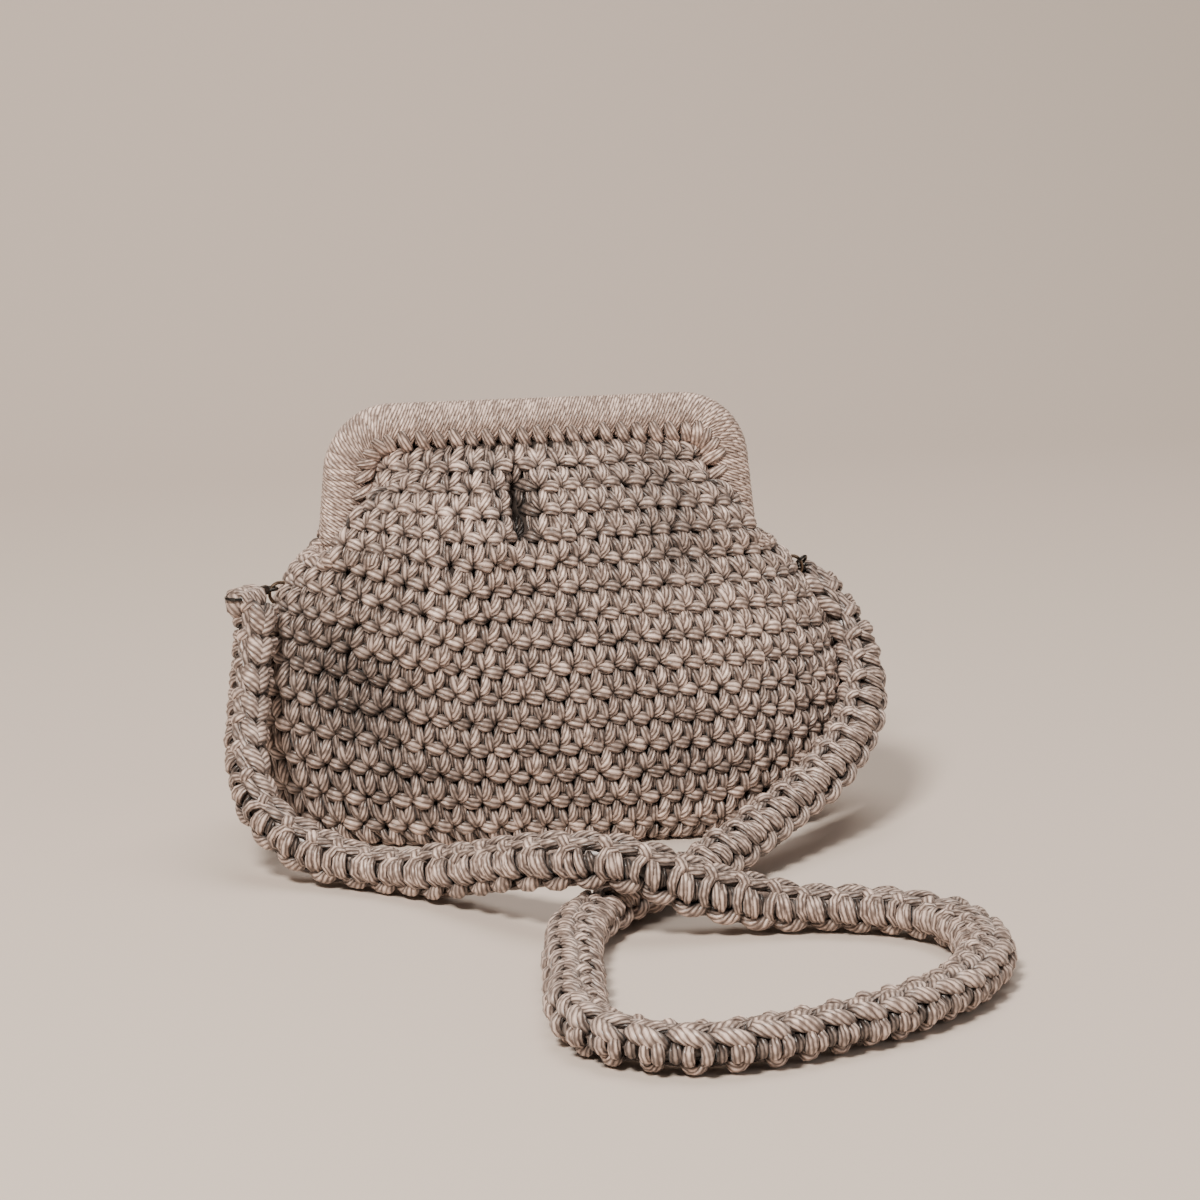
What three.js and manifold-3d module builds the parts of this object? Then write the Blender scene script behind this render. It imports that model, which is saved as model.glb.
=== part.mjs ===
// Crochet bag: a hollow pouch under a wrapped U-shaped frame, with a clipped strap laid in front of it.
// Millimetres, +Z up. The pouch stands on Z = 0 about the origin, and its front faces -Y.
import * as THREE from 'three';
import { mergeVertices } from 'three/addons/utils/BufferGeometryUtils.js';
import Module from 'manifold-3d';

const wasm = await Module();
wasm.setup();

// Pouch
const WALL = 6;
const HEEL_Z = 8.4;
const LEAN = THREE.MathUtils.degToRad(5);
const BASE_FORWARD = 2.9;
const AROUND = 88;

// Level curves of the pouch from its base to its mouth. halfWidth runs along X, front and back are the
// depths either side of the leaning middle plane, square is the superellipse power of the curve, turn is
// the angle in degrees by which the soft body has twisted under the frame, sink is how far the inside lies
// below the level, so that the wall keeps its thickness over the shoulders, shift is how far the level has
// moved sideways with the frame, and wing is how far the panels spread in front of and behind its arms.
const LEVELS = [
  { z: 0, halfWidth: 97, front: 34, back: 33, square: 2.7, turn: -9, sink: 0, shift: 0, wing: 0 },
  { z: 5, halfWidth: 107, front: 40.5, back: 38.5, square: 2.6, turn: -9, sink: 0, shift: 0, wing: 0 },
  { z: 17, halfWidth: 112, front: 43, back: 41, square: 2.5, turn: -8, sink: 0, shift: 0, wing: 0 },
  { z: 36, halfWidth: 117, front: 46, back: 44, square: 2.4, turn: -6.5, sink: 0, shift: 0, wing: 0 },
  { z: 56, halfWidth: 118, front: 46, back: 45, square: 2.4, turn: -5, sink: 0, shift: 0, wing: 0 },
  { z: 75, halfWidth: 115, front: 43.5, back: 43, square: 2.4, turn: -3, sink: 0, shift: 0, wing: 0 },
  { z: 92, halfWidth: 108, front: 39.5, back: 39, square: 2.5, turn: -1.5, sink: 0, shift: -0.8, wing: 0 },
  { z: 104, halfWidth: 101, front: 36, back: 35, square: 2.6, turn: -0.5, sink: 2, shift: -1.8, wing: 0 },
  { z: 110.5, halfWidth: 95.5, front: 34.2, back: 32.8, square: 2.8, turn: 0, sink: 5.5, shift: -2.3, wing: 0 },
  { z: 113, halfWidth: 72.2, front: 33.3, back: 31.4, square: 3.6, turn: 0, sink: 6, shift: -2.7, wing: 20 },
  { z: 128, halfWidth: 70.6, front: 26.5, back: 24, square: 3.6, turn: 0, sink: 0, shift: -2.7, wing: 15 },
  { z: 141, halfWidth: 69, front: 19.5, back: 18, square: 3.4, turn: 0, sink: 0, shift: -2.7, wing: 8 },
  { z: 148.5, halfWidth: 67, front: 15, back: 14.4, square: 3.2, turn: 0, sink: 0, shift: -2.7, wing: 0 },
  { z: 153.4, halfWidth: 61, front: 12.5, back: 12, square: 3, turn: 0, sink: 0, shift: -2.7, wing: 0 },
];
const MOUTH_Z = LEVELS[LEVELS.length - 1].z;

// Folds of the front and back panels: a line from (x0, z0) to (x1, z1) that stands proud by rise, or is
// sunk where rise is negative, and fades out over spread either side.
const FRONT_FOLDS = [
  { name: 'pleat', x0: -12.5, z0: 139, x1: -13, z1: 122, rise: -8, spread: 4.6 },
  { name: 'puff left of the pleat', x0: -25, z0: 141, x1: -27, z1: 118, rise: 4.5, spread: 7.5 },
  { name: 'puff right of the pleat', x0: -2, z0: 138, x1: 0, z1: 116, rise: 3.5, spread: 8 },
  { name: 'ridge falling from the pleat', x0: -28, z0: 118, x1: -57, z1: 80, rise: 4, spread: 11 },
  { name: 'hollow above the left corner', x0: -92, z0: 74, x1: -80, z1: 60, rise: -4.5, spread: 15 },
  { name: 'hollow under the frame', x0: 46, z0: 140, x1: 50, z1: 112, rise: -3.5, spread: 12 },
  { name: 'swell of the right side', x0: 70, z0: 78, x1: 82, z1: 52, rise: 2.5, spread: 20 },
];
const BACK_FOLDS = [
  { name: 'pleat', x0: 18, z0: 143, x1: 22, z1: 118, rise: -5, spread: 6 },
  { name: 'ridge falling from the pleat', x0: 30, z0: 114, x1: 56, z1: 80, rise: 3, spread: 12 },
  { name: 'sag of the middle', x0: -30, z0: 84, x1: 10, z1: 72, rise: -2.5, spread: 22 },
];

// Frame rolls: side is -1 in front and 1 behind, width is the roll's breadth in the plane of the frame, and
// inset is how far its middle line lies inside that of the front roll.
const ROLLS = [
  { name: 'frame_front', side: -1, width: 17, inset: 0, color: 0x968880 },
  { name: 'frame_back', side: 1, width: 14.6, inset: 1.2, color: 0x94867d },
];
const ROLL_DEPTH = 13;
const ROLL_GAP = 0.5;
const ROLL_SIDES = 12;
const ROLL_STEPS = 34;
const ROLL_END_SHARES = [0.45, 0.85];
const ARM_FOOT_Z = 114;
const ARM_FOOT_X = 81.7;
const ARM_TOP_X = 78.7;
const BAR_Z = 162.4;
const CORNER_RADIUS = 19;
const FRAME_SHIFT = -2.7;

// Depth from the middle plane up to which the arms hold a panel in, and from which it spreads in full.
const WING_FROM = 13.9;
const WING_TO = 17.5;

// Rings and clips
const SHOULDER_Z = 97;
const SEAT_GAP = 0.35;
const WIRE_RADIUS = 0.7;
const WIRE_SIDES = 8;
const RING_RADIUS = 4.4;
const RING_STEPS = 12;
const HOOK_RADIUS = 2.9;
const HOOK_OFFSET = 0.8;
const HOOK_STEPS = 16;
const BARREL_RADIUS = 2;
const BARREL_START = 3.3;
const BARREL_LENGTH = 6.3;
const BARREL_SIDES = 12;
const LOOP_LENGTH = 18;
const LOOP_WIDTH = 8;
const LOOP_BEND_STEPS = 6;

// Each clip hangs on the ring at its side, points out the way the strap pulls it, and lies facing upwards.
const CLIPS = [
  { name: 'clip_left', side: -1, out: [-0.72, -0.69, 0], facing: [0, 0, 1] },
  { name: 'clip_right', side: 1, out: [0.3, 0.79, -0.53], facing: [-0.5, 0.6, 0.62] },
];

// Strap, with the route of its centre line from the left clip to the right one.
const STRAP_DIAMETER = 16.6;
const STRAP_SIDES = 10;
const STRAP_STEPS = 78;
const STRAP_ROUTE = [
  [-119.6, -7.6, 97.3], [-120.6, -11, 83], [-124, -18.6, 66.5], [-126.6, -26.2, 55.3], [-130, -43.4, 38.2],
  [-126.6, -54.5, 25.5], [-114.9, -65.3, 14.3], [-102.3, -73.8, 9.8], [-73.7, -100.4, 9.8], [-37.8, -156.4, 26.4],
  [-17, -168, 26.3], [8, -173, 17], [35, -176.5, 10], [56.5, -181.5, 8.6], [76, -191.5, 8.6],
  [89, -207, 8.6], [93, -228, 8.6], [86, -254.5, 8.6], [67, -280.5, 8.6], [39, -300.5, 8.6],
  [7, -313, 8.6], [-21.5, -319.5, 8.6], [-39.5, -319, 8.6], [-55, -310, 8.6], [-64.3, -294.3, 8.6],
  [-64.8, -276, 8.6], [-57, -243, 8.6], [-47, -205, 8.6], [-36, -179, 8.6],
  [-19, -157.5, 8.6], [29, -119, 9.5], [77.5, -78, 20.5], [99, -60, 29], [115.5, -41, 38.5],
  [125, -23, 49], [128.5, -7.6, 60], [127, 2.8, 70], [118.4, 13.9, 84.5], [114.6, 18.4, 89.2],
];

// Section of the pouch at height z, interpolated between its level curves.
function levelAt(z) {
  const last = LEVELS.length - 1;
  const upper = LEVELS.findIndex((level) => level.z >= z);
  const high = upper < 0 ? last : Math.max(upper, 1);
  const low = high - 1;
  const share = THREE.MathUtils.clamp((z - LEVELS[low].z) / (LEVELS[high].z - LEVELS[low].z), 0, 1);
  const level = { z };
  for (const key of ['halfWidth', 'front', 'back', 'square', 'turn', 'shift', 'wing']) {
    level[key] = THREE.MathUtils.lerp(LEVELS[low][key], LEVELS[high][key], share);
  }
  return level;
}

// Y of the leaning middle plane at height z.
function middleAt(z) {
  return z * Math.tan(LEAN) - BASE_FORWARD;
}

// How far the folds push the wall out at a place on the front or back panel.
function foldRise(folds, x, z) {
  const place = new THREE.Vector3(x, z, 0);
  const nearest = new THREE.Vector3();
  let rise = 0;
  for (const fold of folds) {
    const top = new THREE.Vector3(fold.x0, fold.z0, 0);
    const line = new THREE.Line3(top, new THREE.Vector3(fold.x1, fold.z1, 0));
    const away = line.closestPointToPoint(place, true, nearest).distanceTo(place);
    rise += fold.rise * Math.exp(-((away / fold.spread) ** 2));
  }
  return rise;
}

// One closed ring of points round the pouch, evenly spaced, drawn in by inset all round. The rings tip
// back with the pouch, from level at the base to square with the frame at the mouth. Only the outside
// has wings, so the wall is thick where it folds over the arms.
function pouchRing(level, inset, z) {
  const fine = 4 * AROUND;
  const wing = inset > 0 ? 0 : level.wing;
  const breadth = level.halfWidth + wing - inset;
  const outline = [];
  for (let i = 0; i <= fine; i += 1) {
    const turn = (i / fine) * Math.PI * 2;
    const cos = Math.cos(turn);
    const sin = Math.sin(turn);
    const depth = (sin < 0 ? level.front : level.back) - inset;
    const x = breadth * Math.sign(cos) * Math.abs(cos) ** (2 / level.square);
    const y = depth * Math.sign(sin) * Math.abs(sin) ** (2 / level.square);
    outline.push(new THREE.Vector2(x, y));
  }
  const shape = new THREE.Path(outline);
  const twist = THREE.MathUtils.degToRad(level.turn);
  const middle = new THREE.Vector2();
  const ring = [];
  for (let i = 0; i < AROUND; i += 1) {
    const flat = shape.getPointAt(i / AROUND);
    const held = 1 - THREE.MathUtils.smoothstep(Math.abs(flat.y), WING_FROM, WING_TO);
    flat.x *= 1 - (held * wing) / breadth;
    const facing = Math.min(1, Math.abs(flat.y) / level.front);
    const folds = flat.y < 0 ? FRONT_FOLDS : BACK_FOLDS;
    flat.y += foldRise(folds, flat.x, level.z) * facing * Math.sign(flat.y);
    flat.rotateAround(middle, twist);
    const tip = (flat.y * Math.tan(LEAN) * z) / MOUTH_Z;
    ring.push(new THREE.Vector3(flat.x + level.shift, flat.y + middleAt(z), z - tip));
  }
  return ring;
}

function centreOf(ring) {
  const centre = new THREE.Vector3();
  ring.forEach((point) => centre.add(point));
  return centre.divideScalar(ring.length);
}

// Solid through rings of points, each ring counterclockwise about the way the rings follow each other.
// The first and last rings are capped, or joined to each other where the sweep is closed.
function loft(rings, closed) {
  const around = rings[0].length;
  const positions = [];
  const index = [];
  const add = (point) => positions.push(point.x, point.y, point.z) / 3 - 1;
  rings.forEach((ring) => ring.forEach(add));
  const spans = closed ? rings.length : rings.length - 1;
  for (let i = 0; i < spans; i += 1) {
    const here = i * around;
    const next = ((i + 1) % rings.length) * around;
    for (let j = 0; j < around; j += 1) {
      const k = (j + 1) % around;
      index.push(here + j, here + k, next + k);
      index.push(here + j, next + k, next + j);
    }
  }
  if (!closed) {
    const start = add(centreOf(rings[0]));
    const end = add(centreOf(rings[rings.length - 1]));
    const lastRow = (rings.length - 1) * around;
    for (let j = 0; j < around; j += 1) {
      const k = (j + 1) % around;
      index.push(start, k, j);
      index.push(end, lastRow + j, lastRow + k);
    }
  }
  const geometry = new THREE.BufferGeometry();
  geometry.setAttribute('position', new THREE.Float32BufferAttribute(positions, 3));
  geometry.setIndex(index);
  geometry.computeVertexNormals();
  return geometry;
}

// Shell of the pouch: up the outside, over the rim of the mouth and down the inside to its floor.
function pouchGeometry() {
  const rings = [];
  LEVELS.forEach((level, i) => {
    rings.push(pouchRing(level, 0, level.z));
    const next = LEVELS[i + 1];
    if (!next || next.z - level.z < WALL) return;
    const between = (level.z + next.z) / 2;
    rings.push(pouchRing(levelAt(between), 0, between));
  });
  const inside = LEVELS.filter((level) => level.z > WALL).reverse();
  inside.forEach((level) => rings.push(pouchRing(level, WALL, level.z - level.sink)));
  rings.push(pouchRing(levelAt(HEEL_Z), WALL, HEEL_Z));
  rings.push(pouchRing(LEVELS[0], WALL, WALL));
  return loft(rings, false);
}

// Middle line of a roll in the plane of the frame, from one arm's foot over the bar to the other's.
function rollLine(inset) {
  const barHeight = BAR_Z - ARM_FOOT_Z - inset;
  const cornerHeight = barHeight - CORNER_RADIUS;
  const cornerX = ARM_TOP_X - inset - CORNER_RADIUS;
  const line = new THREE.Path();
  line.moveTo(inset - ARM_FOOT_X, 0);
  line.lineTo(inset - ARM_TOP_X, cornerHeight);
  line.absarc(-cornerX, cornerHeight, CORNER_RADIUS, Math.PI, Math.PI / 2, true);
  line.lineTo(cornerX, barHeight);
  line.absarc(cornerX, cornerHeight, CORNER_RADIUS, Math.PI / 2, 0, true);
  line.lineTo(ARM_FOOT_X - inset, 0);
  return line;
}

// Wrapped roll on one side of the middle plane, drawn in to a rounded end at each foot.
function rollGeometry(roll) {
  const line = rollLine(roll.inset);
  const depthAxis = new THREE.Vector3(0, Math.cos(LEAN), -Math.sin(LEAN));
  const upAxis = new THREE.Vector3(0, Math.sin(LEAN), Math.cos(LEAN));
  const foot = new THREE.Vector3(0, middleAt(ARM_FOOT_Z), ARM_FOOT_Z);
  const offset = (roll.side * (ROLL_DEPTH + ROLL_GAP)) / 2;
  const rings = [];
  for (let i = 0; i <= ROLL_STEPS; i += 1) {
    const flat = line.getPointAt(i / ROLL_STEPS);
    const along = line.getTangentAt(i / ROLL_STEPS);
    const scale = ROLL_END_SHARES[Math.min(i, ROLL_STEPS - i)] ?? 1;
    const outward = new THREE.Vector3(-along.y, 0, 0).addScaledVector(upAxis, along.x);
    const centre = foot.clone().addScaledVector(depthAxis, offset).addScaledVector(upAxis, flat.y);
    centre.x += flat.x + FRAME_SHIFT;
    const ring = [];
    for (let j = 0; j < ROLL_SIDES; j += 1) {
      const turn = (j / ROLL_SIDES) * Math.PI * 2;
      const point = centre.clone();
      point.addScaledVector(outward, (scale * Math.cos(turn) * roll.width) / 2);
      point.addScaledVector(depthAxis, (-scale * Math.sin(turn) * ROLL_DEPTH) / 2);
      ring.push(point);
    }
    rings.push(ring);
  }
  return loft(rings, false);
}

// Where a ring is held at the shoulder of the pouch, and the way the wall faces there.
function shoulderSeat(side) {
  const below = levelAt(SHOULDER_Z - RING_RADIUS);
  const above = levelAt(SHOULDER_Z + RING_RADIUS);
  const spread = side * (above.halfWidth - below.halfWidth);
  const rise = new THREE.Vector3(spread, 0, above.z - below.z).normalize();
  const normal = new THREE.Vector3(side * rise.z, 0, -side * rise.x);
  const here = levelAt(SHOULDER_Z);
  const place = new THREE.Vector3(side * here.halfWidth + here.shift, middleAt(SHOULDER_Z), SHOULDER_Z);
  place.addScaledVector(normal, WIRE_RADIUS + SEAT_GAP);
  return { place, normal, rise };
}

// Round wire about a list of centre points, in a plane with the given normal.
function wire(points, planeNormal, closed) {
  const count = points.length;
  const rings = points.map((point, i) => {
    const before = closed ? points[(i + count - 1) % count] : points[Math.max(i - 1, 0)];
    const after = closed ? points[(i + 1) % count] : points[Math.min(i + 1, count - 1)];
    const along = after.clone().sub(before).normalize();
    const across = planeNormal.clone().cross(along).normalize();
    const ring = [];
    for (let j = 0; j < WIRE_SIDES; j += 1) {
      const turn = (j / WIRE_SIDES) * Math.PI * 2;
      const spot = point.clone().addScaledVector(across, Math.cos(turn) * WIRE_RADIUS);
      ring.push(spot.addScaledVector(planeNormal, Math.sin(turn) * WIRE_RADIUS));
    }
    return ring;
  });
  return loft(rings, closed);
}

// Half ring whose two ends go into the crochet.
function ringGeometry(side) {
  const { place, normal, rise } = shoulderSeat(side);
  const points = [];
  for (let i = 0; i <= RING_STEPS; i += 1) {
    const turn = Math.PI * (i / RING_STEPS - 0.5);
    const point = place.clone().addScaledVector(normal, Math.cos(turn) * RING_RADIUS);
    points.push(point.addScaledVector(rise, Math.sin(turn) * RING_RADIUS));
  }
  return wire(points, normal.clone().cross(rise), false);
}

function toSolid(geometry) {
  const bare = new THREE.BufferGeometry();
  bare.setAttribute('position', geometry.getAttribute('position').clone());
  bare.setIndex(geometry.index.clone());
  const merged = mergeVertices(bare, 1e-4);
  const vertProperties = new Float32Array(merged.getAttribute('position').array);
  const triVerts = new Uint32Array(merged.index.array);
  return new wasm.Manifold(new wasm.Mesh({ numProp: 3, vertProperties, triVerts }));
}

function fromSolid(solid) {
  const mesh = solid.getMesh();
  const geometry = new THREE.BufferGeometry();
  geometry.setAttribute('position', new THREE.Float32BufferAttribute(mesh.vertProperties, 3));
  geometry.setIndex(new THREE.Uint32BufferAttribute(mesh.triVerts, 1));
  geometry.computeVertexNormals();
  return geometry;
}

// Clip in its own plane: a hook round the ring at the origin, a barrel and a long loop for the strap.
function clipGeometry() {
  const up = new THREE.Vector3(0, 0, 1);
  const hook = [];
  for (let i = 0; i < HOOK_STEPS; i += 1) {
    const turn = (i / HOOK_STEPS) * Math.PI * 2;
    const x = HOOK_OFFSET + HOOK_RADIUS * Math.cos(turn);
    hook.push(new THREE.Vector3(x, HOOK_RADIUS * Math.sin(turn), 0));
  }
  const loop = [];
  const bend = LOOP_WIDTH / 2;
  const loopStart = BARREL_START + BARREL_LENGTH - WIRE_RADIUS;
  const bends = [
    { x: loopStart + LOOP_LENGTH - bend, startTurn: -0.5 },
    { x: loopStart + bend, startTurn: 0.5 },
  ];
  bends.forEach(({ x, startTurn }) => {
    for (let i = 0; i <= LOOP_BEND_STEPS; i += 1) {
      const turn = Math.PI * (startTurn + i / LOOP_BEND_STEPS);
      loop.push(new THREE.Vector3(x + bend * Math.cos(turn), bend * Math.sin(turn), 0));
    }
  });
  const barrel = new THREE.CylinderGeometry(BARREL_RADIUS, BARREL_RADIUS, BARREL_LENGTH, BARREL_SIDES);
  barrel.rotateZ(Math.PI / 2);
  barrel.translate(BARREL_START + BARREL_LENGTH / 2, 0, 0);
  const hookSolid = toSolid(wire(hook, up, true));
  const loopSolid = toSolid(wire(loop, up, true));
  return fromSolid(toSolid(barrel).add(hookSolid).add(loopSolid));
}

// Strap as one round tube along its route.
function strapGeometry() {
  const points = STRAP_ROUTE.map((place) => new THREE.Vector3(...place));
  const route = new THREE.CatmullRomCurve3(points, false, 'centripetal');
  const corners = [];
  for (let j = 0; j < STRAP_SIDES; j += 1) {
    const turn = (j / STRAP_SIDES) * Math.PI * 2;
    corners.push(new THREE.Vector2(Math.cos(turn), Math.sin(turn)).multiplyScalar(STRAP_DIAMETER / 2));
  }
  const section = new THREE.Shape(corners);
  return new THREE.ExtrudeGeometry(section, { steps: STRAP_STEPS, bevelEnabled: false, extrudePath: route });
}

function finish(color, roughness, metalness) {
  return new THREE.MeshStandardMaterial({ color, roughness, metalness });
}

function piece(name, geometry, material) {
  const mesh = new THREE.Mesh(geometry, material);
  mesh.name = name;
  return mesh;
}

const bag = new THREE.Group();
bag.name = 'crochet_bag';
bag.add(piece('pouch', pouchGeometry(), finish(0x91827a, 0.62, 0)));
for (const roll of ROLLS) {
  bag.add(piece(roll.name, rollGeometry(roll), finish(roll.color, 0.58, 0)));
}
bag.add(piece('ring_left', ringGeometry(-1), finish(0x5a5048, 0.32, 1)));
bag.add(piece('ring_right', ringGeometry(1), finish(0x5a5048, 0.32, 1)));
for (const pose of CLIPS) {
  const { place, normal } = shoulderSeat(pose.side);
  const out = new THREE.Vector3(...pose.out).normalize();
  const across = new THREE.Vector3(...pose.facing).cross(out).normalize();
  const turned = new THREE.Matrix4().makeBasis(out, across, out.clone().cross(across));
  const clip = piece(pose.name, clipGeometry(), finish(0x3d3a38, 0.36, 1));
  clip.quaternion.setFromRotationMatrix(turned);
  clip.position.copy(place).addScaledVector(normal, RING_RADIUS);
  bag.add(clip);
}
bag.add(piece('strap', strapGeometry(), finish(0x988a81, 0.6, 0)));

export default bag;
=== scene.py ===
import math

import bpy
import numpy as np
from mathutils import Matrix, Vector


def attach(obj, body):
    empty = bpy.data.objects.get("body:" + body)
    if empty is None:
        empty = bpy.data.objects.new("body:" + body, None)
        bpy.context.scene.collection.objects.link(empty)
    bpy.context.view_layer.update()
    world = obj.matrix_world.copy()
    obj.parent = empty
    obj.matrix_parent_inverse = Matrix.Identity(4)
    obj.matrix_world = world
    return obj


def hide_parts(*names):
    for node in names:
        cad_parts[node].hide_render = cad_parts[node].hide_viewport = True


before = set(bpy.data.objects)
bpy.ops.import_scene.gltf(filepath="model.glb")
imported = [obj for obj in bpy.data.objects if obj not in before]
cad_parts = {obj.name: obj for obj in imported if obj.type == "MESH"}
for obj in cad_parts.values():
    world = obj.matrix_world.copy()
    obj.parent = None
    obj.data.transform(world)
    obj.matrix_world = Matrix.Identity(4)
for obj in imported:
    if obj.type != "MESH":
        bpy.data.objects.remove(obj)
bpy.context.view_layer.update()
bpy.ops.object.select_all(action="DESELECT")
mm = 0.001
justAboveFloor = 0.0002  # metres, the lowest that any crochet lies
rng = np.random.default_rng(11)  # one seeded source for every small unevenness


def loose(spread, count):  # a small step either way for each lobe
    return rng.uniform(-spread, spread, (count, 1))


def uneven(limits, count):  # a size or tone between two limits for each lobe
    return rng.uniform(*limits, (count, 1))


# camera and studio

cameraSet = {
    "azimuth": -16.0, "elevation": 11.0, "lens": 105.0, "sensor": 36.0, "distance": 1.4, "farthest": 60.0,
    "aimHeight": 0.085, "aimRight": 0.0208, "aimUp": 0.0051,  # the middle of the picture
}
studio = {
    "floorColor": (0.63, 0.54, 0.47, 1.0), "floorRoughness": 0.85, "floorDepth": 1.6, "floorWidth": 9.0,
    "sweepHeight": 3.0, "bend": 0.7, "bendSteps": 24,
    "worldColor": (1.0, 0.95, 0.9, 1.0), "worldStrength": 0.15,
    "lightsAim": (0.0, -0.1, 0.06),
    "lights": [
        {"name": "keyLight", "place": (-0.95, -1.25, 1.75), "size": 0.5, "watts": 74.0,
         "color": (1.0, 0.93, 0.86)},
        {"name": "topLight", "place": (0.35, 0.35, 1.9), "size": 1.4, "watts": 24.0,
         "color": (1.0, 0.95, 0.9)},
        {"name": "fillLight", "place": (1.6, -1.5, 0.7), "size": 1.4, "watts": 8.0,
         "color": (1.0, 0.97, 0.95)},
    ],
}


def aimAt(obj, target):
    obj.rotation_euler = (Vector(target) - obj.location).to_track_quat("-Z", "Y").to_euler()


def makeCamera():
    turn, lift = math.radians(cameraSet["azimuth"]), math.radians(cameraSet["elevation"])
    towards = Vector((math.sin(turn) * math.cos(lift), -math.cos(turn) * math.cos(lift), math.sin(lift)))
    right = Vector((math.cos(turn), math.sin(turn), 0.0))
    up = towards.cross(right)
    target = Vector((0.0, 0.0, cameraSet["aimHeight"]))
    target = target + right * cameraSet["aimRight"] + up * cameraSet["aimUp"]
    bpy.ops.object.camera_add(location=target + towards * cameraSet["distance"])
    camera = bpy.context.object
    camera.name = "photoCamera"
    camera.data.lens = cameraSet["lens"]
    camera.data.sensor_width = cameraSet["sensor"]
    camera.data.clip_end = cameraSet["farthest"]
    aimAt(camera, target)
    bpy.context.scene.camera = camera


def newFinish(name):
    material = bpy.data.materials.new(name)
    material.use_nodes = True
    return material, material.node_tree.nodes["Principled BSDF"]


def dial(node, settings):  # sets a node's own sockets by name
    for socketName, value in settings.items():
        node.inputs[socketName].default_value = value


def makeFloor():
    bpy.ops.mesh.primitive_plane_add(size=1.0)
    floor = bpy.context.object
    floor.name = "floor"
    floor.scale = (studio["floorWidth"], 2 * studio["floorDepth"], 1.0)
    bpy.ops.object.transform_apply(location=False, rotation=False, scale=True)
    bpy.ops.object.mode_set(mode="EDIT")
    bpy.ops.mesh.select_mode(type="EDGE")
    bpy.ops.mesh.select_all(action="DESELECT")
    bpy.ops.object.mode_set(mode="OBJECT")
    for edge in floor.data.edges:  # the edge at the back
        edge.select = all(floor.data.vertices[corner].co.y > 0 for corner in edge.vertices)
    bpy.ops.object.mode_set(mode="EDIT")
    bpy.ops.mesh.extrude_region_move(TRANSFORM_OT_translate={"value": (0.0, 0.0, studio["sweepHeight"])})
    bpy.ops.object.mode_set(mode="OBJECT")
    bend = floor.modifiers.new("bend", "BEVEL")  # the floor sweeps up at the back
    bend.width = studio["bend"]
    bend.segments = studio["bendSteps"]
    bpy.ops.object.modifier_apply(modifier=bend.name)
    bpy.ops.object.shade_smooth()
    material, shader = newFinish("paleFloor")
    dial(shader, {"Base Color": studio["floorColor"], "Roughness": studio["floorRoughness"]})
    floor.data.materials.append(material)


def makeLights():
    world = bpy.data.worlds.new("softRoom")
    world.use_nodes = True
    background = world.node_tree.nodes["Background"]
    dial(background, {"Color": studio["worldColor"], "Strength": studio["worldStrength"]})
    bpy.context.scene.world = world
    for row in studio["lights"]:
        bpy.ops.object.light_add(type="AREA", location=row["place"])
        light = bpy.context.object
        light.name = row["name"]
        light.data.size = row["size"]
        light.data.energy = row["watts"]
        light.data.color = row["color"]
        aimAt(light, studio["lightsAim"])


makeCamera()
makeFloor()
makeLights()
print("stage: camera, floor and lights")


# cord finishes: strand lines come from the UV map, whose second value counts strands

# the groove colour is painted shade between strands and the crest colour a painted highlight on their
# crowns; the body colour is the cord's own
cordLook = {
    "grooveShadeColor": (0.05, 0.029, 0.02, 1.0), "body": (0.27, 0.196, 0.163, 1.0), "crest": (0.9, 0.69, 0.588, 1.0),
    "bodyAt": 0.48,  # where the body colour lies between the painted groove shade and the painted crest highlight
    "roughness": 0.34, "sheen": 0.08, "sheenRoughness": 0.4,
    "bump": 0.8, "bumpDepth": 0.0007, "bumpShape": 0.6,
    "streakAlong": 0.35, "streakAcross": 3.7, "streakDetail": 2.0, "fibreGain": 2.2, "fibreFrom": -0.2,
    "apartGain": 2.6, "apartFrom": -0.62, "apartLeast": 0.6, "grooveShadeShape": 0.8,
}
mixSocket = {"share": 0, "first": 6, "second": 7, "mixed": 2}  # sockets of a Mix node that mixes colours


def maths(tree, operation, first, second=None):
    node = tree.nodes.new("ShaderNodeMath")
    node.operation = operation
    for socket, value in zip(node.inputs, (first, second)):
        if isinstance(value, (int, float)):
            socket.default_value = value
        elif value is not None:
            tree.links.new(value, socket)
    return node.outputs[0]


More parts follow.
